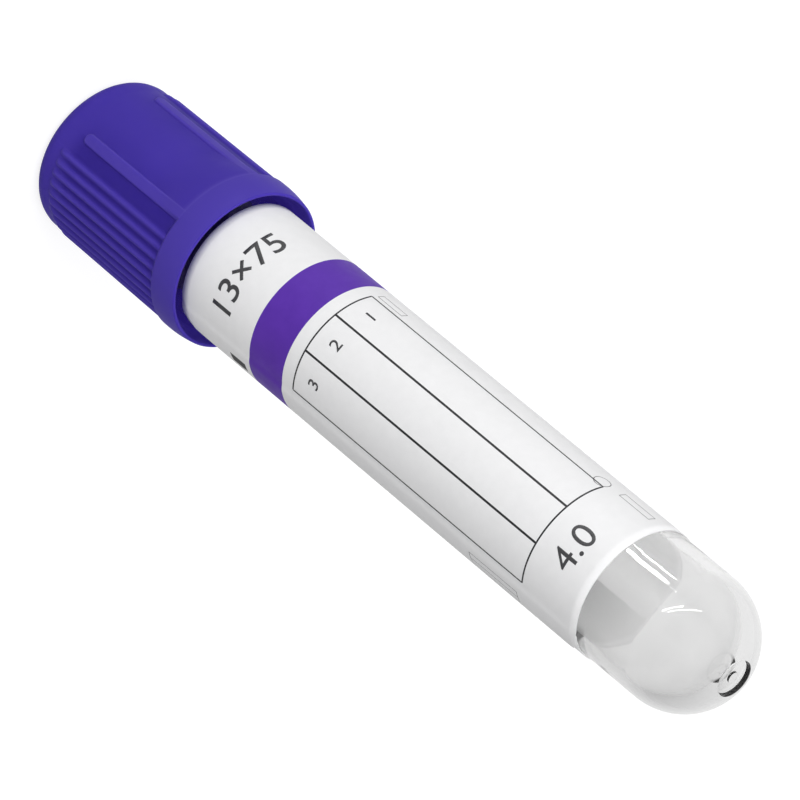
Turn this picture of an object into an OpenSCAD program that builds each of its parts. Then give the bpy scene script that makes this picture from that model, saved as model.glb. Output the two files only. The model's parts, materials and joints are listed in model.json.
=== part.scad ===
// Vacuum blood collection tube with a pull-off safety cap, standing on the cap's flat top.
// Each piece is drawn on the tube's own axis, with z = 0 at the closed end and the cap above.
// stand_on_cap() then turns it over, with the middle of the label's front facing -Y.

/* [Tube] */
// Length from the closed end to the rim
tube_len = 75; // [60:0.5:100]
// Outer diameter at the rim
rim_d = 13; // [10.5:0.1:16]
// Draft of the wall, outside and inside, in degrees
draft = 0.31; // [0.1:0.01:0.5]
// Thickness of the side wall
wall = 1; // [0.8:0.05:1.3]
// Thickness of the closed end at its middle
base_wall = 1.8; // [1.4:0.1:2.5]
// Radius on the rim's two edges
rim_round = 0.3; // [0.1:0.05:0.35]
// Diameter of the recess that the moulding gate leaves in the closed end
gate_d = 3.3; // [2:0.1:4.5]
// Depth of that recess, from the tip
gate_depth = 0.6; // [0.4:0.05:0.9]
// Diameter of the gate's stub on the recess's floor
stub_d = 1; // [0.6:0.1:1.5]
// Height of that stub
stub_h = 0.25; // [0.1:0.05:0.35]

/* [Label] */
// Height of the label's lower edge above the closed end
label_low = 12; // [9:0.5:20]
// How far the label reaches in under the cap's skirt
label_tuck = 0.4; // [0.2:0.1:2]
// Thickness of the label film
film = 0.1; // [0.05:0.01:0.12]
// Thickness of the adhesive under it
glue = 0.02; // [0.01:0.01:0.03]
// Angle over which the label covers its own first edge
overlap = 26; // [20:1:40]
// Radius on the corners of the free edge
label_corner = 2.2; // [0.5:0.1:2.4]

/* [Cap] */
// Height of the cap
cap_h = 21.2; // [17:0.1:26]
// How far the skirt covers the tube below its rim
skirt_cover = 11.45; // [9:0.05:14]
// Gap between the rim's outside and the skirt's inside
skirt_gap = 0.5; // [0.4:0.05:0.7]
// Thickness of the skirt between the ribs
skirt_wall = 0.65; // [0.5:0.05:1]
// Gap between the rim's outside and the bead that holds the stopper
bead_gap = 0.15; // [0.1:0.05:0.2]
// Height of that bead
bead_h = 1; // [0.6:0.1:1.5]
// Thickness of the top round the needle hole
top_thick = 3; // [2:0.1:4]
// Diameter of the needle hole
needle_d = 8; // [6:0.1:9]
// Bevel round the outer end of the needle hole
needle_bevel = 0.3; // [0.1:0.05:0.6]
// Radius on the top's outer edge
top_round = 1.2; // [0.5:0.1:1.5]
// How much wider the top band is than the floor between the ribs
band_out = 0.07; // [0.03:0.01:0.2]

/* [Collar] */
// How far the collar's widest ring stands out
collar_out = 0.42; // [0.36:0.01:0.8]
// Height of the widest ring above the mouth
crest_h = 2.5; // [1.5:0.1:3]
// Height of the shoulder where the collar steps down to the grip
shoulder_h = 2.95; // [2.8:0.05:4]
// How far the collar draws in from the widest ring to the mouth
collar_draw = 0.28; // [0.1:0.01:0.35]
// Thickness of the rounded lip at the mouth
lip = 0.32; // [0.2:0.02:0.4]
// Height over which the mouth narrows to the skirt's bore
mouth_flare = 1.5; // [0.8:0.1:2.5]

/* [Grip] */
// Number of ribs in each of the two groups
rib_count = 12; // [6:1:12]
// Angle from one rib to the next
rib_pitch = 7.6; // [6.5:0.1:7.6]
// Width of a rib
rib_w = 0.66; // [0.5:0.02:0.7]
// How far a rib stands out
rib_out = 0.29; // [0.2:0.01:0.32]
// Length over which a rib runs out at its upper end
rib_ramp = 1; // [0.3:0.1:2]
// Plain band between the ribs and the cap's top
band_h = 2.4; // [2:0.1:5]
// Width of the strips beside the smooth panels
strip_w = 1.1; // [0.8:0.05:1.4]
// How far a strip stands out
strip_out = 0.22; // [0.1:0.01:0.3]
// How far a strip stops short of the ribs' upper ends
strip_short = 1.5; // [0.5:0.1:3]
// Angle between the two strips of a panel
panel_turn = 61; // [50:1:64]
// Length over which a panel runs out of the collar
panel_foot = 5.5; // [2:0.1:7]

/* [Stopper] */
// Length of the plug inside the tube
plug_len = 7; // [6:0.1:8.5]
// Radial clearance of the sealing rings in the bore
plug_gap = 0.05; // [0.02:0.01:0.1]
// Number of sealing rings
ring_count = 3; // [2:1:3]
// Height of a sealing ring
ring_h = 1.2; // [0.8:0.1:1.3]
// Depth of the grooves between the sealing rings
groove = 0.3; // [0.15:0.05:0.4]
// Taper at the plug's lower end
plug_lead = 0.6; // [0.3:0.05:0.8]
// Gap between the stopper's head and what is round it
seat_gap = 0.05; // [0.02:0.01:0.1]
// Bevel on the edges of the stopper's head
head_bevel = 0.4; // [0.2:0.05:0.6]
// Diameter of the hollow under the plug
hollow_d = 5.6; // [4:0.1:6.5]
// Thickness of rubber that the needle goes through
septum = 4; // [2.5:0.1:5]
// Diameter of the needle dish in the stopper's top
dish_d = 6; // [4:0.1:7]
// Depth of that dish
dish_depth = 1; // [0.5:0.1:1.5]

/* [How it is put together] */
// Turn of a panel's middle from the middle of the label's front
cap_turn = 31; // [-180:1:180]
// Turn of the label's free edge from the middle of its front
free_edge_turn = -88; // [-120:1:-60]

/* [Hidden] */
$fn = 96;

bite = 0.3;      // how far a cut or a clipped shape reaches past what it cuts
arc_steps = 8;   // straight bands in each long curve of the cap's section
end_turn = 2;    // corner, in degrees, where a round end or edge runs into a wall
slope = tan(draft);

rim_r = rim_d / 2;
bore_rim_r = rim_r - wall;
function outside_r(z) = rim_r - (tube_len - z) * slope;
function bore_r(z) = bore_rim_r - (tube_len - z) * slope;

// radius of a round end at low_z that runs into the drafted wall end_turn short of its widest ring
function end_r(top_r, low_z) =
    (top_r - (tube_len - low_z) * slope) / (cos(end_turn) - (1 - sin(end_turn)) * slope);
dome_r = end_r(rim_r, 0);
well_r = end_r(bore_rim_r, base_wall);

mouth_z = tube_len - skirt_cover;
top_z = mouth_z + cap_h;
label_top = mouth_z + label_tuck;

skirt_r = rim_r + skirt_gap;
cap_r = skirt_r + skirt_wall;
band_r = cap_r + band_out;
bead_r = rim_r + bead_gap;
ceiling_z = top_z - top_thick;
shoulder_z = mouth_z + shoulder_h;
ribs_end_z = top_z - band_h;

// radius of the collar at height h above the mouth
function collar_r(h) = cap_r + collar_out - collar_draw * pow((h - crest_h) / crest_h, 2);
collar_curve = [
    for (i = [0:arc_steps])
        let (h = lip / 2 + (shoulder_h - lip / 2) * i / arc_steps)
        [collar_r(h), mouth_z + h]
];
step_out = collar_r(shoulder_h) - cap_r;
foot_curve = [
    for (i = [0:arc_steps])
        [cap_r + step_out * (1 + cos(180 * i / arc_steps)) / 2, shoulder_z + panel_foot * i / arc_steps]
];
strip_turn = 2 * asin(strip_w / 2 / cap_r);
foot_turn = panel_turn + strip_turn / 2;

head_low = tube_len + seat_gap;
head_high = ceiling_z - seat_gap;
head_r = skirt_r - seat_gap;
plug_low = tube_len - plug_len;
ring_pitch = (head_low - plug_low - plug_lead - ring_h) / (ring_count - 1);
dish_low = head_high - dish_depth;
hollow_top = dish_low - septum;
hollow_r = hollow_d / 2;

module stand_on_cap() {
    translate([0, 0, top_z]) rotate([180, 0, -90]) children();
}

// quarter of a disc, in the quadrant that side and up point to
module quarter_disc(r, side, up) {
    reach = r + bite;
    intersection() {
        circle(r);
        translate([min(0, side * reach), min(0, up * reach)]) square(reach);
    }
}

// half section of a solid, drafted, round-ended cup that reaches past the rim
module cup_section(r, low_z, high_r) {
    high_z = tube_len + bite;
    low_r = high_r - (high_z - low_z + bite) * slope;
    intersection() {
        polygon([[0, low_z - bite], [low_r, low_z - bite], [high_r, high_z], [0, high_z]]);
        union() {
            translate([0, low_z + r]) circle(r);
            translate([0, low_z + r]) square([high_r + bite, high_z - low_z - r]);
        }
    }
}

// half section of all that lies below the rim or inside its two rounded edges
module rim_section() {
    inset = rim_round * cos(end_turn);
    centre_z = tube_len - inset;
    inner = bore_r(centre_z) + inset;
    outer = outside_r(centre_z) - inset;
    intersection() {
        square([rim_r + bite, tube_len]);
        union() {
            square([rim_r + bite, centre_z]);
            translate([inner, centre_z - bite]) square([outer - inner, rim_round + 2 * bite]);
            translate([inner, centre_z]) circle(rim_round);
            translate([outer, centre_z]) circle(rim_round);
        }
    }
}

module tube() color([0.86, 0.88, 0.9, 0.35]) stand_on_cap() {
    difference() {
        rotate_extrude() intersection() {
            rim_section();
            difference() {
                cup_section(dome_r, 0, outside_r(tube_len + bite));
                cup_section(well_r, base_wall, bore_r(tube_len + bite));
            }
        }
        translate([0, 0, -bite]) cylinder(d = gate_d, h = gate_depth + bite);
    }
    translate([0, 0, gate_depth - stub_h]) cylinder(d = stub_d, h = stub_h + bite);
}

// a sector of the label's film, between two distances from the tube's wall
module film_wrap(inner, outer, turn) {
    low_r = outside_r(label_low);
    high_r = outside_r(label_top);
    rotate_extrude(angle = turn) polygon([
        [low_r + inner, label_low],
        [low_r + outer, label_low],
        [high_r + outer, label_top],
        [high_r + inner, label_top]
    ]);
}

// what is taken off one corner of the free edge
module corner_waste(corner_z, up) {
    centre = [label_corner, corner_z + up * label_corner];
    difference() {
        translate([-bite, min(corner_z - up * bite, centre[1])])
            square([label_corner + bite, label_corner + bite]);
        translate(centre) circle(label_corner);
    }
}

module free_edge_outline() {
    difference() {
        translate([0, label_low - bite]) square([2 * rim_r, label_top - label_low + 2 * bite]);
        corner_waste(label_low, 1);
        corner_waste(label_top, -1);
    }
}

module label() color("white") stand_on_cap() rotate([0, 0, free_edge_turn]) {
    film_wrap(glue, glue + film, 360);
    intersection() {
        film_wrap(glue + film / 2, glue + 2 * film, overlap);
        rotate([90, 0, 90]) linear_extrude(2 * rim_r) free_edge_outline();
    }
}

module cap_section() {
    round_z = top_z - top_round;
    round_x = band_r - top_round;
    lip_x = collar_curve[0][0] - lip / 2;
    translate([lip_x, mouth_z + lip / 2]) {
        quarter_disc(lip / 2, 1, -1);
        quarter_disc(lip / 2, -1, -1);
    }
    translate([round_x, round_z]) quarter_disc(top_round, 1, 1);
    polygon(concat(
        collar_curve,
        [
            [cap_r, shoulder_z + step_out],
            [cap_r, ribs_end_z],
            [band_r, round_z],
            [round_x, round_z],
            [round_x, top_z],
            [needle_d / 2 + needle_bevel, top_z],
            [needle_d / 2, top_z - needle_bevel],
            [needle_d / 2, ceiling_z],
            [skirt_r - head_bevel, ceiling_z],
            [skirt_r, ceiling_z - head_bevel],
            [skirt_r, tube_len],
            [bead_r, tube_len],
            [bead_r, tube_len - bead_h],
            [skirt_r, tube_len - bead_h - skirt_gap],
            [skirt_r, mouth_z + mouth_flare],
            [lip_x - lip / 2, mouth_z + lip / 2]
        ]
    ));
}

module ribs() {
    low_z = shoulder_z - bite;
    crest_r = cap_r + rib_out;
    run_out = rib_ramp * bite / rib_out;
    intersection() {
        translate([0, 0, low_z]) linear_extrude(ribs_end_z - low_z + bite)
            for (i = [0:rib_count - 1])
                rotate((i - (rib_count - 1) / 2) * rib_pitch)
                    translate([crest_r - rib_w / 2, 0]) circle(d = rib_w);
        rotate_extrude() polygon([
            [cap_r - skirt_wall / 2, low_z],
            [crest_r + bite, low_z],
            [crest_r + bite, ribs_end_z - rib_ramp - run_out],
            [crest_r, ribs_end_z - rib_ramp],
            [cap_r, ribs_end_z],
            [cap_r - skirt_wall / 2, ribs_end_z]
        ]);
    }
}

// the two strips beside a smooth panel, and the foot that blends the panel into the collar
module panel() {
    low_z = shoulder_z - bite;
    inner_r = cap_r - skirt_wall / 2;
    strip_len = ribs_end_z - strip_short - low_z;
    for (side = [-1, 1])
        rotate(side * panel_turn / 2 - strip_turn / 2)
            rotate_extrude(angle = strip_turn)
                translate([inner_r, low_z]) square([cap_r + strip_out - inner_r, strip_len]);
    rotate(-foot_turn / 2) rotate_extrude(angle = foot_turn)
        polygon(concat([[inner_r, low_z]], foot_curve, [[inner_r, shoulder_z + panel_foot]]));
}

module cap() color([0.25, 0.18, 0.62]) stand_on_cap() rotate([0, 0, cap_turn]) {
    rotate_extrude() cap_section();
    for (side = [0, 180])
        rotate(side) {
            panel();
            rotate(90) ribs();
        }
}

module stopper() color([0.62, 0.62, 0.64]) stand_on_cap() rotate_extrude() polygon(concat(
    [
        [hollow_r, plug_low],
        [bore_r(plug_low) - plug_gap - groove, plug_low]
    ],
    [
        for (i = [0:ring_count - 1])
            let (low = plug_low + plug_lead + i * ring_pitch, high = low + ring_h)
            each [
                [bore_r(low) - plug_gap - groove, low - plug_lead / 2],
                [bore_r(low) - plug_gap, low],
                [bore_r(high) - plug_gap, high],
                if (i < ring_count - 1) [bore_r(high) - plug_gap - groove, high + plug_lead / 2]
            ]
    ],
    [
        [head_r - head_bevel, head_low],
        [head_r, head_low + head_bevel],
        [head_r, head_high - head_bevel],
        [head_r - head_bevel, head_high],
        [dish_d / 2, head_high],
        [dish_d / 2 - dish_depth / 2, dish_low],
        [0, dish_low],
        [0, hollow_top],
        [hollow_r / 2, hollow_top],
        [hollow_r, hollow_top - hollow_r / 2]
    ]
));

tube();
label();
cap();
stopper();
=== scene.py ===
import json
from math import atan2, cos, degrees, hypot, pi, radians, sin, sqrt, tan

import bmesh
import bpy
from mathutils import Matrix, Vector

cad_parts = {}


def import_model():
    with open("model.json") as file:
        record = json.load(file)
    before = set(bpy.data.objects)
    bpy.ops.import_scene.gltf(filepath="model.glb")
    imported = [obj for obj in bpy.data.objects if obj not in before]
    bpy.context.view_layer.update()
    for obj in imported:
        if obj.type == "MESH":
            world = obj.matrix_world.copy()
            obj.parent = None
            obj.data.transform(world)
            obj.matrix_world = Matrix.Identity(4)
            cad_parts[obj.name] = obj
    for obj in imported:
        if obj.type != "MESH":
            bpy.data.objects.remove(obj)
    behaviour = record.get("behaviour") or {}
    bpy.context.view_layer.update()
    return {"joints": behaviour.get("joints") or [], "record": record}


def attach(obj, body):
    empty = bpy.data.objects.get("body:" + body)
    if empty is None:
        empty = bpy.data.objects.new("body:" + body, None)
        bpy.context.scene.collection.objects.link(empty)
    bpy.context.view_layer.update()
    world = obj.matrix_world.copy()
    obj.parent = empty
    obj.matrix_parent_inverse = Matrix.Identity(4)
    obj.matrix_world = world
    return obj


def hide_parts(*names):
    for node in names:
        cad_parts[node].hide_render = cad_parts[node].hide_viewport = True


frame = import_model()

# ---------------------------------------------------------------- sizes, in millimetres
# A piece is modelled with its station 0 at the tube's closed end, and stood on its cap when finished.

MM = 0.001
TUBE_LEN = 75.0
RIM_R = 6.5
WALL = 1.0
DRAFT = radians(0.31)
BASE_WALL = 1.8
RIM_ROUND = 0.3
GATE_R = 1.65
GATE_DEPTH = 0.6
STUB_R = 0.5
STUB_H = 0.25

LABEL_LOW = 12.0
LABEL_HIGH = 63.95
FILM = 0.1
GLUE = 0.02
OVERLAP = 26.0
LABEL_CORNER = 2.2
FREE_EDGE = -88.0

MOUTH = 63.55
CAP_TOP = 84.75
SKIRT_R = 7.0
CAP_R = 7.65
BAND_OUT = 0.07
BEAD_R = 6.65
BEAD_H = 1.0
TOP_THICK = 3.0
NEEDLE_R = 4.0
COLLAR_OUT = 0.42
CREST_H = 2.5
SHOULDER_H = 2.95
COLLAR_DRAW = 0.28
LIP = 0.32
MOUTH_FLARE = 1.5
TOP_ROUND = 1.2
RIB_COUNT = 12
RIB_PITCH = 7.6
RIB_OUT = 0.29
RIB_RAMP = 1.0
RIBS_END_H = 18.8
STRIP_W = 1.1
STRIP_OUT = 0.22
STRIP_END_H = 17.3
PANEL_TURN = 61.0
PANEL_FOOT = 5.5
CAP_TURN = 31.0

PLUG_LEN = 7.0
PLUG_GAP = 0.05
SEAT_GAP = 0.05
RING_COUNT = 3
RING_H = 1.2
GROOVE = 0.3
PLUG_LEAD = 0.6
HOLLOW_R = 2.8
SEPTUM = 4.0
DISH_R = 3.0
DISH_DEPTH = 1.0

NEEDLE_STATION = 83.1
END_TURN = radians(2)
PAST_GATE = 2
WALL_STATIONS = [20, 35, 50, 65]
SLOPE = tan(DRAFT)


def outside_r(z):
    return RIM_R - (TUBE_LEN - z) * SLOPE


def bore_r(z):
    return outside_r(z) - WALL


def end_r(rim_r, low):
    """Radius of a round end at station low that runs into the drafted wall."""
    return (rim_r - (TUBE_LEN - low) * SLOPE) / (cos(END_TURN) - (1 - sin(END_TURN)) * SLOPE)


DOME_R = end_r(RIM_R, 0)
WELL_R = end_r(RIM_R - WALL, BASE_WALL)

# ---------------------------------------------------------------- where the tube stands

to_closed_end = Vector(frame["joints"][0]["axis"]).normalized()
needle_hole = next(m for m in frame["record"]["mounts"] if m["name"] == "needle_hole")
closed_end = Vector(needle_hole["pos_m"]) + to_closed_end * NEEDLE_STATION * MM
front = Vector((0, -1, 0))
turned_over = Matrix((front, front.cross(to_closed_end), -to_closed_end)).transposed().to_4x4()
STAND = Matrix.Translation(closed_end) @ turned_over @ Matrix.Scale(MM, 4)


def on_axis(station):
    return closed_end - to_closed_end * station * MM


# ---------------------------------------------------------------- mesh helpers

def arc(centre, radius, start, end, steps):
    """Points of an arc of a section, with its angles in degrees from the radial direction."""
    turns = [radians(start + (end - start) * i / steps) for i in range(steps + 1)]
    return [(centre[0] + radius * cos(a), centre[1] + radius * sin(a)) for a in turns]


def rounded(corners, steps=6):
    """The path through corners, where a corner with a third number is rounded to that radius."""
    path = []
    for i, corner in enumerate(corners):
        here = Vector(corner[:2])
        if len(corner) == 2:
            path.append(tuple(here))
            continue
        radius = corner[2]
        back = (Vector(corners[i - 1][:2]) - here).normalized()
        ahead = (Vector(corners[(i + 1) % len(corners)][:2]) - here).normalized()
        half = back.angle(ahead) / 2
        centre = here + (back + ahead).normalized() * radius / sin(half)
        first = here + back * radius / tan(half) - centre
        last = here + ahead * radius / tan(half) - centre
        path += [tuple(centre + first.slerp(last, k / steps) * radius) for k in range(steps + 1)]
    return path


def spun(section, steps, closed=False):
    """A bmesh of a section turned round the tube's axis: a sixteenth of a turn, doubled four times."""
    bm = bmesh.new()
    verts = [bm.verts.new((r, 0, z)) for r, z in section]
    for a, b in zip(verts, verts[1:] + (verts[:1] if closed else [])):
        bm.edges.new((a, b))
    angle = pi / 8
    bmesh.ops.spin(
        bm, geom=bm.verts[:] + bm.edges[:], cent=(0, 0, 0), axis=(0, 0, 1), angle=angle, steps=steps // 16,
    )
    for doubling in range(4):
        copied = bmesh.ops.duplicate(bm, geom=bm.verts[:] + bm.edges[:] + bm.faces[:])["geom"]
        moved = [v for v in copied if isinstance(v, bmesh.types.BMVert)]
        bmesh.ops.rotate(bm, verts=moved, cent=(0, 0, 0), matrix=Matrix.Rotation(angle, 3, "Z"))
        angle *= 2
    bmesh.ops.remove_doubles(bm, verts=bm.verts, dist=0.0005)
    bmesh.ops.recalc_face_normals(bm, faces=bm.faces)
    return bm


def finished(bm, name, *materials):
    """The object of a bmesh, stood in its place, with smooth faces."""
    for face in bm.faces:
        face.smooth = True
    bm.transform(STAND)
    mesh = bpy.data.meshes.new(name)
    bm.to_mesh(mesh)
    bm.free()
    piece = bpy.data.objects.new(name, mesh)
    bpy.context.scene.collection.objects.link(piece)
    for material in materials:
        mesh.materials.append(material)
    return piece


def smooth_max(a, b, blend):
    return (a + b + sqrt((a - b) ** 2 + blend ** 2)) / 2


def ease(x):
    x = min(max(x, 0), 1)
    return x * x * (3 - 2 * x)


# ---------------------------------------------------------------- material helpers

class Nodes:
    """A node tree, with short calls for the nodes that the finishes need."""

    def __init__(self, tree):
        self.tree = tree

    def link(self, value, socket):
        if isinstance(value, bpy.types.NodeSocket):
            self.tree.links.new(value, socket)
        else:
            socket.default_value = value

    def math(self, operation, a, b=0.0, clamp=False):
        node = self.tree.nodes.new("ShaderNodeMath")
        node.operation = operation
        node.use_clamp = clamp
        self.link(a, node.inputs[0])
        self.link(b, node.inputs[1])
        return node.outputs[0]

    def mix(self, amount, low, high):
        node = self.tree.nodes.new("ShaderNodeMix")
        node.data_type = "RGBA"
        self.link(amount, node.inputs["Factor"])
        self.link(low, node.inputs[6])
        self.link(high, node.inputs[7])
        return node.outputs[2]

    def spread(self, value, low, high, start=0.0, end=1.0):
        """low where value is start and high where it is end, and evenly in between."""
        node = self.tree.nodes.new("ShaderNodeMapRange")
        self.link(value, node.inputs["Value"])
        node.inputs["From Min"].default_value = start
        node.inputs["From Max"].default_value = end
        self.link(low, node.inputs["To Min"])
        self.link(high, node.inputs["To Max"])
        return node.outputs[0]

    def place(self, kind="Object"):
        return self.tree.nodes.new("ShaderNodeTexCoord").outputs[kind]

    def facing(self, place, direction):
        """How squarely a place lies in a direction as seen from the origin: 1 in it and 0 beside it."""
        unit = self.tree.nodes.new("ShaderNodeVectorMath")
        unit.operation = "NORMALIZE"
        self.link(place, unit.inputs[0])
        node = self.tree.nodes.new("ShaderNodeVectorMath")
        node.operation = "DOT_PRODUCT"
        self.link(unit.outputs["Vector"], node.inputs[0])
        node.inputs[1].default_value = direction
        return node.outputs["Value"]

    def attribute(self, name):
        node = self.tree.nodes.new("ShaderNodeAttribute")
        node.attribute_name = name
        return node.outputs["Fac"]

    def ray(self, kind):
        return self.tree.nodes.new("ShaderNodeLightPath").outputs[kind]

    def noise(self, size_mm, detail=2.0):
        node = self.tree.nodes.new("ShaderNodeTexNoise")
        self.link(self.place(), node.inputs["Vector"])
        node.inputs["Scale"].default_value = 1 / (size_mm * MM)
        node.inputs["Detail"].default_value = detail
        return node.outputs["Fac"]


class Finish(Nodes):
    """A material of one main shader."""

    def __init__(self, name):
        self.material = bpy.data.materials.new(name)
        self.material.use_nodes = True
        super().__init__(self.material.node_tree)
        self.shader = self.tree.nodes["Principled BSDF"]
        self.output = self.tree.nodes["Material Output"]

    def bump(self, height, depth_mm):
        node = self.tree.nodes.new("ShaderNodeBump")
        node.inputs["Strength"].default_value = 1.0
        node.inputs["Distance"].default_value = depth_mm * MM
        self.link(height, node.inputs["Height"])
        self.link(node.outputs[0], self.shader.inputs["Normal"])

    def glow(self, weight, depth_mm, reach=(1, 1, 1)):
        """Lets light wander through the material, so a thin wall glows with the light behind it."""
        self.set(Subsurface_Weight=weight, Subsurface_Scale=depth_mm * MM)
        self.shader.inputs["Subsurface Radius"].default_value = reach

    def set(self, **values):
        for key, value in values.items():
            self.link(value, self.shader.inputs[key.replace("_", " ")])


def rgb(r, g, b):
    """A colour given as 0 to 255 on screen, as the renderer's linear one."""
    parts = [c / 255 for c in (r, g, b)]
    return tuple(c / 12.92 if c < 0.04045 else ((c + 0.055) / 1.055) ** 2.4 for c in parts) + (1.0,)


# ---------------------------------------------------------------- finishes

def clear_plastic():
    """Moulded clear plastic, a little wavy, that lets lamps through to what it holds."""
    f = Finish("clear_plastic")
    f.set(Base_Color=rgb(244, 244, 244), Roughness=0.05, IOR=1.57, Transmission_Weight=1.0)
    f.bump(f.noise(3.5, detail=1.0), 0.045)
    through = f.tree.nodes.new("ShaderNodeBsdfTransparent")
    through.inputs[0].default_value = (0.94, 0.94, 0.94, 1)
    both = f.tree.nodes.new("ShaderNodeMixShader")
    f.link(f.ray("Is Shadow Ray"), both.inputs[0])
    f.tree.links.new(f.shader.outputs[0], both.inputs[1])
    f.tree.links.new(through.outputs[0], both.inputs[2])
    f.tree.links.new(both.outputs[0], f.output.inputs["Surface"])
    return f.material


LABEL_R = outside_r((LABEL_LOW + LABEL_HIGH) / 2) + GLUE + FILM
UV_MM = 100.0
INK_SOFT = 0.03


def across(turn):
    """Distance round the label, in mm, of a turn in degrees from the middle of its front."""
    return radians(turn) * LABEL_R


class Print(Finish):
    """The label's print, drawn as plain fields of its own map: x is mm round it and y is the station."""

    def __init__(self, name):
        super().__init__(name)
        chart = self.tree.nodes.new("ShaderNodeUVMap")
        chart.uv_map = "print"
        parts = self.tree.nodes.new("ShaderNodeSeparateXYZ")
        self.link(chart.outputs[0], parts.inputs[0])
        self.x = self.math("MULTIPLY", parts.outputs[0], UV_MM)
        self.y = self.math("MULTIPLY", parts.outputs[1], UV_MM)

    def between(self, value, low, high):
        inside = self.math("MINIMUM", self.math("SUBTRACT", value, low), self.math("SUBTRACT", high, value))
        return self.math("ADD", self.math("DIVIDE", inside, INK_SOFT), 0.5, clamp=True)

    def block(self, x0, x1, y0, y1):
        return self.math("MULTIPLY", self.between(self.x, x0, x1), self.between(self.y, y0, y1))

    def line_along(self, x, width, y0, y1):
        return self.block(x - width / 2, x + width / 2, y0, y1)

    def line_round(self, y, width, x0, x1):
        return self.block(x0, x1, y - width / 2, y + width / 2)

    def frame_box(self, x0, x1, y0, y1, width):
        outer = self.block(x0, x1, y0, y1)
        inner = self.block(x0 + width, x1 - width, y0 + width, y1 - width)
        return self.math("SUBTRACT", outer, inner, clamp=True)

    def ring(self, x, y, radius, width):
        dx = self.math("SUBTRACT", self.x, x)
        dy = self.math("SUBTRACT", self.y, y)
        square = self.math("ADD", self.math("MULTIPLY", dx, dx), self.math("MULTIPLY", dy, dy))
        return self.between(self.math("SQRT", square), radius - width / 2, radius + width / 2)

    def all_of(self, fields):
        total = fields[0]
        for field in fields[1:]:
            total = self.math("MAXIMUM", total, field)
        return total


TABLE_MIDDLE = 0.5
TABLE_ROW = 35.2
TABLE_LOW = 18.57
TABLE_HIGH = 48.37
BAND_LOW = 49.87
BAND_HIGH = 54.4
ALL_ROUND = (across(-200), across(400))
HAIRLINE = 0.06
PAPER = (rgb(236, 236, 237), rgb(243, 243, 244))


def label_print():
    """The film's outer side: a table with three rows, a violet band, and boxes and lines beside them."""
    f = Print("label_print")
    edges = [across(TABLE_MIDDLE + TABLE_ROW * k) for k in (-1.5, -0.5, 0.5, 1.5)]
    thin, medium, thick = 0.15, 0.17, 0.2
    marks = [
        f.line_along(edges[0], thin, TABLE_LOW, TABLE_HIGH),
        f.line_along(edges[1], thick, TABLE_LOW, TABLE_HIGH),
        f.line_along(edges[2], thick, TABLE_LOW, TABLE_HIGH),
        f.line_along(edges[3], thin, TABLE_LOW, TABLE_HIGH),
        f.line_round(TABLE_LOW, medium, edges[0], edges[3]),
        f.line_round(TABLE_HIGH, medium, edges[0], edges[3]),
        f.frame_box(across(58), across(65), 45.0, 48.2, HAIRLINE),
        f.ring(across(58), 19.2, 0.75, 0.07),
        f.frame_box(across(58), across(66), 13.6, 17.2, HAIRLINE),
        f.frame_box(across(-80), across(-66), 19.2, 25.2, HAIRLINE),
        f.line_along(across(-73), HAIRLINE, 19.2, 25.2),
        f.block(across(-79), across(-69), 55.2, 57.3),
        f.line_along(across(-85.5), HAIRLINE, LABEL_LOW, LABEL_HIGH),
    ]
    ink = f.all_of(marks)
    band = f.block(*ALL_ROUND, BAND_LOW, BAND_HIGH)
    white = f.mix(f.noise(0.9, detail=4.0), *PAPER)
    violet = f.mix(f.noise(1.6, detail=3.0), rgb(82, 41, 158), rgb(94, 50, 174))
    colour = f.mix(band, white, violet)
    f.set(
        Base_Color=f.mix(ink, colour, rgb(40, 40, 43)),
        Roughness=f.spread(f.noise(0.6, detail=2.0), 0.46, 0.6),
        Specular_IOR_Level=0.2,
    )
    f.bump(f.noise(5.0, detail=2.0), 0.04)
    return f.material


# where a painted shade greys the film's inner side: a wedge round its back, faint near the clear closed end
PAINTED_SHADE_FROM = 190
PAINTED_SHADE_TO = 272
PAINTED_SHADE_LEAD = 50
PAINTED_SHADE_FAINT = 0.35
PAINTED_SHADE_FADE_H = 9


def label_back():
    """The film's inner side, which glows with the light outside, less where a painted shade greys it."""
    f = Print("label_back")
    paper = f.mix(f.noise(1.2, detail=3.0), *PAPER)
    fading = f.spread(f.y, PAINTED_SHADE_FAINT, 1.0, start=LABEL_LOW, end=LABEL_LOW + PAINTED_SHADE_FADE_H)
    wedge_shade = f.math("MULTIPLY", f.between(f.x, across(PAINTED_SHADE_FROM), across(PAINTED_SHADE_TO)), fading)
    lead_in = f.spread(f.x, 0.0, PAINTED_SHADE_FAINT, start=across(PAINTED_SHADE_FROM - PAINTED_SHADE_LEAD), end=across(PAINTED_SHADE_FROM))
    wedge_shade = f.math("MAXIMUM", wedge_shade, lead_in)
    # the painted shade's grey
    f.set(Base_Color=f.mix(wedge_shade, paper, rgb(150, 150, 152)), Roughness=0.6)
    f.glow(f.spread(wedge_shade, 1.0, 0.3), 8.0)
    return f.material


def ink_black():
    f = Finish("ink_black")
    f.set(Base_Color=f.mix(f.noise(0.25, detail=2.0), rgb(42, 42, 45), rgb(58, 58, 61)), Roughness=0.45)
    return f.material


# strength of a painted glow on the inside of the cap's skirt, which is no lamp
SKIRT_PAINTED_GLOW = 0.3


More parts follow.
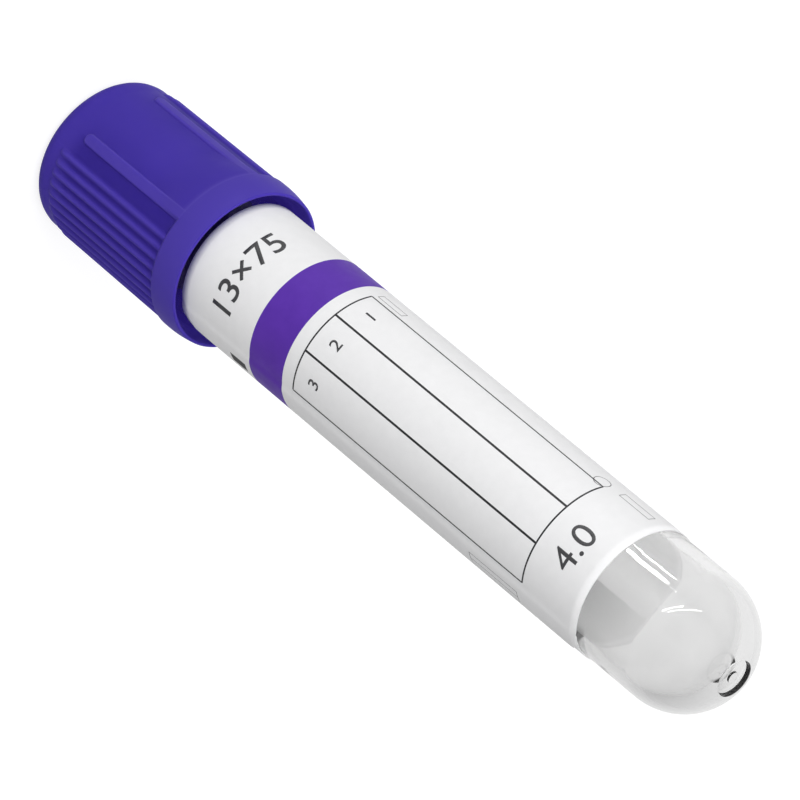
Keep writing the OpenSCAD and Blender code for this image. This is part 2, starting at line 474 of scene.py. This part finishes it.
def violet_plastic():
    """Moulded satin plastic with a faint flow pattern, painted highlights on the cap's raised places,
    painted shade in its sunk ones, and a painted glow inside its skirt.
    """
    f = Finish("violet_plastic")
    tone = f.mix(f.noise(6.0, detail=3.0), rgb(66, 50, 156), rgb(72, 56, 166))
    # painted light and shade on the cap: a lighter violet painted as highlight where it stands out, a
    # darker violet painted as shade where it is sunk
    painted_light_and_shade = f.attribute("painted_light_and_shade")
    painted_shade = f.math("MULTIPLY", painted_light_and_shade, -1.0, clamp=True)
    painted_highlight = f.math("MULTIPLY", painted_light_and_shade, 1.0, clamp=True)
    f.set(
        Base_Color=f.mix(painted_highlight, f.mix(painted_shade, tone, rgb(54, 39, 142)), rgb(90, 76, 176)),
        # painted glow: the skirt's inner faces give off violet light, which lightens the dark gap at the
        # mouth
        Emission_Color=rgb(60, 43, 158),
        Emission_Strength=f.math("MULTIPLY", f.attribute("inside"), SKIRT_PAINTED_GLOW),
        Roughness=f.spread(f.noise(1.4, detail=3.0), 0.44, 0.58),
        Specular_IOR_Level=0.06,
    )
    f.glow(0.4, 1.2, reach=(0.6, 0.5, 1))
    f.bump(f.noise(0.35, detail=3.0), 0.005)
    return f.material


def butyl_rubber():
    """Matt grey rubber, dusty in patches."""
    f = Finish("butyl_rubber")
    dust = f.noise(0.5, detail=4.0)
    f.set(Base_Color=f.mix(dust, rgb(112, 112, 116), rgb(140, 140, 143)), Roughness=0.72)
    f.bump(f.noise(0.2, detail=3.0), 0.02)
    return f.material


# ---------------------------------------------------------------- tube

def tube_section():
    """Half of the tube cut along its axis, from the gate's stub over the rim to the well's bottom."""
    edge = TUBE_LEN - RIM_ROUND
    gate_turn = degrees(atan2(GATE_R, sqrt(DOME_R ** 2 - GATE_R ** 2)))
    rim_z = DOME_R - sqrt(DOME_R ** 2 - GATE_R ** 2)
    dome = arc((0, DOME_R), DOME_R, gate_turn + PAST_GATE - 90, -degrees(END_TURN), 44)
    well = arc((0, BASE_WALL + WELL_R), WELL_R, -degrees(END_TURN), -90, 40)
    corners = [
        (0, GATE_DEPTH - STUB_H),
        (STUB_R, GATE_DEPTH - STUB_H, 0.1),
        (STUB_R, GATE_DEPTH, 0.08),
        (GATE_R, GATE_DEPTH, 0.12),
        (GATE_R, rim_z, 0.1),
    ]
    corners += dome
    corners += [(outside_r(z), z) for z in WALL_STATIONS]
    corners += [(outside_r(edge), TUBE_LEN, RIM_ROUND), (bore_r(edge), TUBE_LEN, RIM_ROUND)]
    corners += [(bore_r(z), z) for z in reversed(WALL_STATIONS)]
    corners += well[:-1] + [(0, BASE_WALL)]
    return rounded(corners)


def clear_tube():
    piece = finished(spun(tube_section(), 192), "clear_tube", clear_plastic())
    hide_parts("tube")
    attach(piece, "tube")


# ---------------------------------------------------------------- label

def on_label(turn, station, lift):
    """The point at a turn from the middle of the label's front, lift mm off the tube's wall."""
    r = outside_r(station) + lift
    return Vector((r * cos(radians(turn)), r * sin(radians(turn)), station))


CORNER_STRETCH = 60.0
STEP_DOWN_TURN = 7
LAP_GAP = 0.005


def label_strip():
    """One strip of film, wrapped round the tube until it laps over its own first edge. The lapping end,
    from FREE_EDGE on, has rounded corners and steps down to the tube past the overlap."""
    full_turn = 360 + OVERLAP
    bm = bmesh.new()
    bmesh.ops.create_grid(bm, x_segments=270, y_segments=60, size=0.5)
    chart = bm.loops.layers.uv.new("print")
    flat = {}
    for v in bm.verts:
        turn = FREE_EDGE + (v.co.x + 0.5) * full_turn
        station = LABEL_LOW + (v.co.y + 0.5) * (LABEL_HIGH - LABEL_LOW)
        from_corner = min(station - LABEL_LOW, LABEL_HIGH - station)
        short = max(LABEL_CORNER - from_corner, 0)
        pulled_in = degrees((LABEL_CORNER - sqrt(LABEL_CORNER ** 2 - short ** 2)) / LABEL_R)
        turn += pulled_in * max(1 - (turn - FREE_EDGE) / CORNER_STRETCH, 0)
        over = 1 - ease((turn - FREE_EDGE - OVERLAP) / STEP_DOWN_TURN)
        v.co = on_label(turn, station, GLUE + FILM + over * (FILM + LAP_GAP))
        flat[v] = (across(turn) / UV_MM, station / UV_MM)
    for face in bm.faces:
        for loop in face.loops:
            loop[chart].uv = flat[loop.vert]
    piece = finished(bm, "label_strip", label_print(), label_back())
    skin = piece.modifiers.new("film", "SOLIDIFY")
    skin.thickness = FILM * MM
    skin.offset = -1
    skin.material_offset = 1
    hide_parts("label")
    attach(piece, "tube")


FIGURE_SHARE = 0.73
BEND_STEP = 0.2
INK_TOP = 0.012
INK_THICK = 0.01


def figures(name, text, height, turn, station, weight, material):
    """Plain figures in ink, bent round the label, with their feet towards the closed end."""
    curve = bpy.data.curves.new(name, "FONT")
    curve.body = text
    curve.size = height / FIGURE_SHARE
    curve.align_x = "CENTER"
    curve.align_y = "CENTER"
    curve.offset = weight
    curve.resolution_u = 6
    holder = bpy.data.objects.new(name + "_outline", curve)
    bpy.context.scene.collection.objects.link(holder)
    bpy.context.view_layer.update()
    outline = bpy.data.meshes.new_from_object(holder.evaluated_get(bpy.context.evaluated_depsgraph_get()))
    bpy.data.objects.remove(holder)
    bm = bmesh.new()
    bm.from_mesh(outline)
    half = max(abs(v.co.x) for v in bm.verts)
    x = -half
    while x < half:
        bmesh.ops.bisect_plane(bm, geom=bm.verts[:] + bm.edges[:] + bm.faces[:],
                               plane_co=(x, 0, 0), plane_no=(1, 0, 0))
        x += BEND_STEP
    for v in bm.verts:
        here = turn + degrees(v.co.x / LABEL_R)
        v.co = on_label(here, station + v.co.y, GLUE + FILM + INK_TOP)
    piece = finished(bm, name, material)
    skin = piece.modifiers.new("ink", "SOLIDIFY")
    skin.thickness = INK_THICK * MM
    skin.offset = -1
    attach(piece, "tube")


# ---------------------------------------------------------------- cap

INSIDE_CAD = 0.005
CREST_R = CAP_R + COLLAR_OUT - INSIDE_CAD
TOP_H = CAP_TOP - MOUTH - TOP_ROUND
GRIP_FROM = PANEL_TURN / 2

# how strongly light and shade are painted on the cap: painted highlight where it stands out (above 0),
# painted shade where it is sunk (below 0)
COLLAR_PAINTED_HIGHLIGHT = 0.35
RIB_PAINTED_HIGHLIGHT = 0.35
STRIP_PAINTED_HIGHLIGHT = 0.4
STRIP_EDGE_PAINTED_HIGHLIGHT = 0.8
SHOULDER_PAINTED_HIGHLIGHT = 0.35
FOOT_PAINTED_HIGHLIGHT = 0.25
PANEL_PAINTED_SHADE = 0.3
FLOOR_DEPTH = 0.24


def collar_r(h):
    return CREST_R - COLLAR_DRAW * ((h - CREST_H) / CREST_H) ** 2


def moulded_skin(h, turn):
    """The cap's outside at height h above its mouth, at a turn from a panel's middle: its radius, and the
    light and shade painted on it, a painted highlight above 0 where the cap stands out and a painted shade
    below 0 on a grip's floor and beside a strip."""
    # the collar is painted lighter all round, as a painted highlight
    if h < SHOULDER_H:
        return collar_r(h), COLLAR_PAINTED_HIGHLIGHT
    side = abs((turn + 90) % 180 - 90)
    floor = CAP_R + BAND_OUT * ease((h - RIBS_END_H) / (TOP_H - RIBS_END_H))
    above_shoulder = h - SHOULDER_H
    shoulder = collar_r(SHOULDER_H) - above_shoulder
    r = smooth_max(floor, shoulder, 0.15)

    step = collar_r(SHOULDER_H) - CAP_R
    foot = step * (1 + cos(pi * min(above_shoulder / PANEL_FOOT, 1))) / 2
    beside = ease((GRIP_FROM + 3.4 - side) / 1.2)
    r = max(r, floor + foot * beside)

    mm_from_strip = abs(radians(side - GRIP_FROM) * CAP_R)
    past_strip = max(h - STRIP_END_H + STRIP_W / 2, 0)
    past_edge = hypot(mm_from_strip, past_strip) - STRIP_W / 2
    strip = ease(0.5 - past_edge / 0.16)
    r = smooth_max(r, floor - 0.05 + (STRIP_OUT + 0.05) * strip, 0.03)

    rib = 0
    first_rib = 90 - (RIB_COUNT - 1) / 2 * RIB_PITCH
    if side > first_rib - RIB_PITCH / 2:
        nearest = first_rib + RIB_PITCH * max(round((side - first_rib) / RIB_PITCH), 0)
        tip = sqrt(max(1 - max((h - RIBS_END_H) / RIB_RAMP + 1, 0) ** 2, 0))
        rib = tip * ease(1 - abs(side - nearest) / RIB_PITCH * 2)
        r = smooth_max(r, floor + RIB_OUT * rib, 0.04)

    # painted highlights: a bright line along the strip's edge on the panel side, and a lighter strip, rib
    # crests, shoulder and panel foot
    on_panel = side < GRIP_FROM
    strip_edge_highlight = ease(1 - abs(past_edge + 0.03) / 0.12) if on_panel else 0
    at_shoulder = SHOULDER_PAINTED_HIGHLIGHT * ease(1 - above_shoulder / 0.6)
    at_foot = FOOT_PAINTED_HIGHLIGHT * beside * ease(1 - abs(above_shoulder - 0.05) / 0.25)
    painted_highlight = max(
        STRIP_PAINTED_HIGHLIGHT * strip * ease((above_shoulder + 0.1) / 0.4),
        STRIP_EDGE_PAINTED_HIGHLIGHT * strip_edge_highlight,
        RIB_PAINTED_HIGHLIGHT * rib * ease(above_shoulder / 1.5),
        at_shoulder + at_foot,
    )
    # painted shade: darker on the grip's floor between the ribs and on the panel beside the strip, fading
    # out towards the cap's top and where the surface stands out
    painted_shade = 1 if side > GRIP_FROM else PANEL_PAINTED_SHADE * (1 - ease(past_edge / 2.5))
    painted_shade *= ease((RIBS_END_H - h) / 2.4)
    painted_shade *= ease(1 - (r - floor) / FLOOR_DEPTH)
    return min(r, CREST_R), painted_highlight - painted_shade


def cap_heights():
    """Heights of the rings of the cap's outside, close together where it steps."""
    limits = [LIP / 2, 2.7, 3.7, 8.6, 16.9, 17.7, 18.9, TOP_H]
    counts = [9, 12, 10, 5, 10, 10, 3]
    heights = []
    for low, high, count in zip(limits, limits[1:], counts):
        heights += [low + (high - low) * i / count for i in range(count)]
    return heights + [TOP_H]


def cap_shell():
    """The cap, turned from its section, with its outside then drawn out to the moulded skin."""
    lip_x = collar_r(LIP / 2) - LIP / 2
    heights = cap_heights()
    band_r = CAP_R + BAND_OUT
    ceiling = CAP_TOP - TOP_THICK
    skin = [(CAP_R, MOUTH + h) for h in heights]
    top = arc((band_r - TOP_ROUND, CAP_TOP - TOP_ROUND), TOP_ROUND, 0, 90, 9)[1:]
    inner = rounded([
        top[-1],
        (NEEDLE_R, CAP_TOP, 0.3),
        (NEEDLE_R, ceiling, 0.15),
        (SKIRT_R, ceiling, 0.4),
        (SKIRT_R, TUBE_LEN),
        (BEAD_R, TUBE_LEN, 0.1),
        (BEAD_R, TUBE_LEN - BEAD_H, 0.15),
        (SKIRT_R, TUBE_LEN - BEAD_H - (SKIRT_R - RIM_R), 0.2),
        (SKIRT_R, MOUTH + MOUTH_FLARE, 0.4),
        (lip_x - LIP / 2, MOUTH + LIP / 2),
    ], steps=3)[1:]
    lip = arc((lip_x, MOUTH + LIP / 2), LIP / 2, 180, 360, 8)[1:-1]
    bm = spun(skin + top + inner + lip, 720, closed=True)
    low, high = MOUTH + LIP / 2 - 0.001, MOUTH + heights[-1] + 0.001
    # each vertex carries its painted highlight (above 0) or painted shade (below 0) for the violet material
    painted_light_and_shade = bm.verts.layers.float.new("painted_light_and_shade")
    inside = bm.verts.layers.float.new("inside")
    for v in bm.verts:
        r = hypot(v.co.x, v.co.y)
        # the skirt's inner faces, which get the painted glow
        v[inside] = float(r < SKIRT_R + 0.2 and v.co.z < TUBE_LEN)
        if r > CAP_R - 0.01 and low < v.co.z < high:
            new_r, v[painted_light_and_shade] = moulded_skin(v.co.z - MOUTH, degrees(atan2(v.co.y, v.co.x)))
            v.co.x *= new_r / r
            v.co.y *= new_r / r
    bm.transform(Matrix.Rotation(radians(CAP_TURN), 4, "Z"))
    piece = finished(bm, "cap_shell", violet_plastic())
    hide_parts("cap")
    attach(piece, "closure")


# ---------------------------------------------------------------- stopper

def stopper_section():
    """Half of the stopper cut along its axis, from the hollow over the rings and the head to the dish."""
    low = TUBE_LEN - PLUG_LEN
    head_low = TUBE_LEN + SEAT_GAP
    head_high = CAP_TOP - TOP_THICK - SEAT_GAP
    head_r = SKIRT_R - SEAT_GAP
    dish_low = head_high - DISH_DEPTH
    hollow_top = dish_low - SEPTUM
    pitch = (head_low - low - PLUG_LEAD - RING_H) / (RING_COUNT - 1)
    corners = [(0, hollow_top), (HOLLOW_R, hollow_top, 1.2), (HOLLOW_R, low, 0.2)]
    corners += [(bore_r(low) - PLUG_GAP - GROOVE, low, 0.15)]
    for i in range(RING_COUNT):
        foot = low + PLUG_LEAD + i * pitch
        r = bore_r(foot) - PLUG_GAP
        if i:
            corners.append((r - GROOVE, foot - PLUG_LEAD / 2, 0.1))
        corners += [(r, foot, 0.15), (r, foot + RING_H, 0.15)]
        if i < RING_COUNT - 1:
            corners.append((r - GROOVE, foot + RING_H + PLUG_LEAD / 2, 0.1))
    corners[-1] = (corners[-1][0], head_low)
    corners += [
        (head_r, head_low, 0.4),
        (head_r, head_high, 0.4),
        (DISH_R, head_high, 0.2),
        (DISH_R - 0.5, dish_low, 0.4),
        (0, dish_low),
    ]
    return rounded(corners, steps=4)


def rubber_stopper():
    piece = finished(spun(stopper_section(), 128), "rubber_stopper", butyl_rubber())
    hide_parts("stopper")
    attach(piece, "closure")


clear_tube()
label_strip()
black = ink_black()
figures("volume_figures", "4.0", 2.5, TABLE_MIDDLE - 2, 15.35, 0.0, black)
figures("size_figures", "13×75", 2.6, TABLE_MIDDLE - 2, 58.6, 0.02, black)
for row in range(3):
    place = TABLE_MIDDLE + TABLE_ROW * (1 - row)
    figures(f"row_figure_{row + 1}", str(row + 1), 1.3, place, 46.0, 0.01, black)
cap_shell()
rubber_stopper()

# ---------------------------------------------------------------- floor, light and camera

AIM_STATION = 42.0
CAMERA_DISTANCE = 0.33702
CAMERA_TURN = radians(0.26)
CAMERA_HEIGHT = radians(35.34)
CAMERA_ROLL = radians(129.81)

aim = on_axis(AIM_STATION)
to_camera = Vector((
    sin(CAMERA_TURN) * cos(CAMERA_HEIGHT),
    -cos(CAMERA_TURN) * cos(CAMERA_HEIGHT),
    sin(CAMERA_HEIGHT),
))
camera_turned = (-to_camera).to_track_quat("-Z", "Y").to_matrix() @ Matrix.Rotation(CAMERA_ROLL, 3, "Z")


def camera():
    lens = bpy.data.cameras.new("camera")
    lens.lens = 180
    lens.sensor_width = 36
    lens.clip_start = 0.01
    lens.clip_end = 20
    holder = bpy.data.objects.new("camera", lens)
    holder.location = aim + to_camera * CAMERA_DISTANCE
    holder.rotation_euler = camera_turned.to_euler()
    bpy.context.scene.collection.objects.link(holder)
    bpy.context.scene.camera = holder


FLOOR_TONE = 0.35
FLOOR_LIFT = 0.76
FLOOR_IN_GLASS = 0.82
ROOM_IN_GLASS = 0.9
SHADED = 0.6
SHADE_START = -0.2
SHADE_END = 0.7
WORLD_FILL = 0.68
FLOOR_DROP = 0.05
DARK_SIDE = Vector((1, 0, 0))


def shown(nodes, place, in_glass):
    """How brightly a backdrop shows: 1 to the camera, in_glass in glass and gloss but shaded towards the
    dark side, and 0 to all else."""
    side = nodes.facing(place, DARK_SIDE)
    room = nodes.spread(side, in_glass, in_glass * SHADED, start=SHADE_START, end=SHADE_END)
    mirrored = nodes.math("MAXIMUM", nodes.ray("Is Glossy Ray"), nodes.ray("Is Transmission Ray"))
    return nodes.math("MAXIMUM", nodes.math("MULTIPLY", mirrored, room), nodes.ray("Is Camera Ray"))


def floor():
    """A pale floor, set just below the cap's top so that their faces don't coincide."""
    bm = bmesh.new()
    bmesh.ops.create_grid(bm, x_segments=1, y_segments=1, size=3.0)
    mesh = bpy.data.meshes.new("floor")
    bm.to_mesh(mesh)
    bm.free()
    plane = bpy.data.objects.new("floor", mesh)
    plane.location.z = -FLOOR_DROP * MM
    bpy.context.scene.collection.objects.link(plane)
    f = Finish("floor_white")
    f.set(Base_Color=(FLOOR_TONE, FLOOR_TONE, FLOOR_TONE, 1), Roughness=0.9, Specular_IOR_Level=0.0)
    f.shader.inputs["Emission Color"].default_value = (1, 1, 1, 1)
    lift = f.math("MULTIPLY", shown(f, f.place(), FLOOR_IN_GLASS), FLOOR_LIFT)
    f.link(lift, f.shader.inputs["Emission Strength"])
    mesh.materials.append(f.material)


def world():
    """White behind the object, and a shaded room on the dark side of it."""
    sky = bpy.data.worlds.new("studio")
    sky.use_nodes = True
    n = Nodes(sky.node_tree)
    fill = n.math("MULTIPLY", n.ray("Is Diffuse Ray"), WORLD_FILL)
    strength = n.math("MAXIMUM", shown(n, n.place("Generated"), ROOM_IN_GLASS), fill)
    backdrop = n.tree.nodes["Background"]
    n.link(strength, backdrop.inputs["Strength"])
    backdrop.inputs["Color"].default_value = (1, 1, 1, 1)
    bpy.context.scene.world = sky


def towards(turn, height):
    """The direction at a turn from the label's front and a height above the floor, both in degrees."""
    turn, height = radians(turn), radians(height)
    return Vector((-sin(turn) * cos(height), -cos(turn) * cos(height), sin(height)))


def softbox(name, station, first, last, away, width, watts, spread=180):
    """A lamp away metres off a station of the tube, which reaches from the first direction to the last.
    It lights the pieces but isn't seen, nor mirrored."""
    start, end = towards(*first) * away, towards(*last) * away
    light = bpy.data.lights.new(name, "AREA")
    light.shape = "RECTANGLE"
    light.size = width
    light.size_y = (end - start).length
    light.energy = watts
    light.spread = radians(spread)
    holder = bpy.data.objects.new(name, light)
    middle = (start + end) / 2
    along = (end - start).normalized()
    back = middle.normalized()
    facing_tube = Matrix((along.cross(back), along, back)).transposed()
    holder.location = on_axis(station) + middle
    holder.rotation_euler = facing_tube.to_euler()
    holder.visible_camera = False
    holder.visible_glossy = False
    holder.visible_transmission = False
    bpy.context.scene.collection.objects.link(holder)
    return holder


def glint(*placing):
    """A narrow lamp that only shows as a reflection."""
    holder = softbox(*placing)
    holder.visible_glossy = True
    holder.visible_diffuse = False


camera()
floor()
world()
softbox("key", AIM_STATION, (28, 8), (28, 64), 0.9, 0.85, 5.0)
softbox("backlight", 20.0, (180, 0), (180, 12), 0.8, 0.16, 0.04, spread=16)
glint("streak_broad", 9.5, (44, -37), (44, -25), 0.1, 0.009, 0.016)
glint("streak_thin", 9.5, (56.5, -37), (56.5, -25), 0.1, 0.003, 0.010)
glint("arc_low", 5.0, (8, -20), (32.6, -2.6), 0.1, 0.003, 0.016)
glint("arc_high", 5.0, (11, -12), (47, 16.6), 0.1, 0.002, 0.012)

bpy.context.scene.view_settings.view_transform = "Standard"


def corners(box):
    return [[float(c) for c in corner] for corner in box]
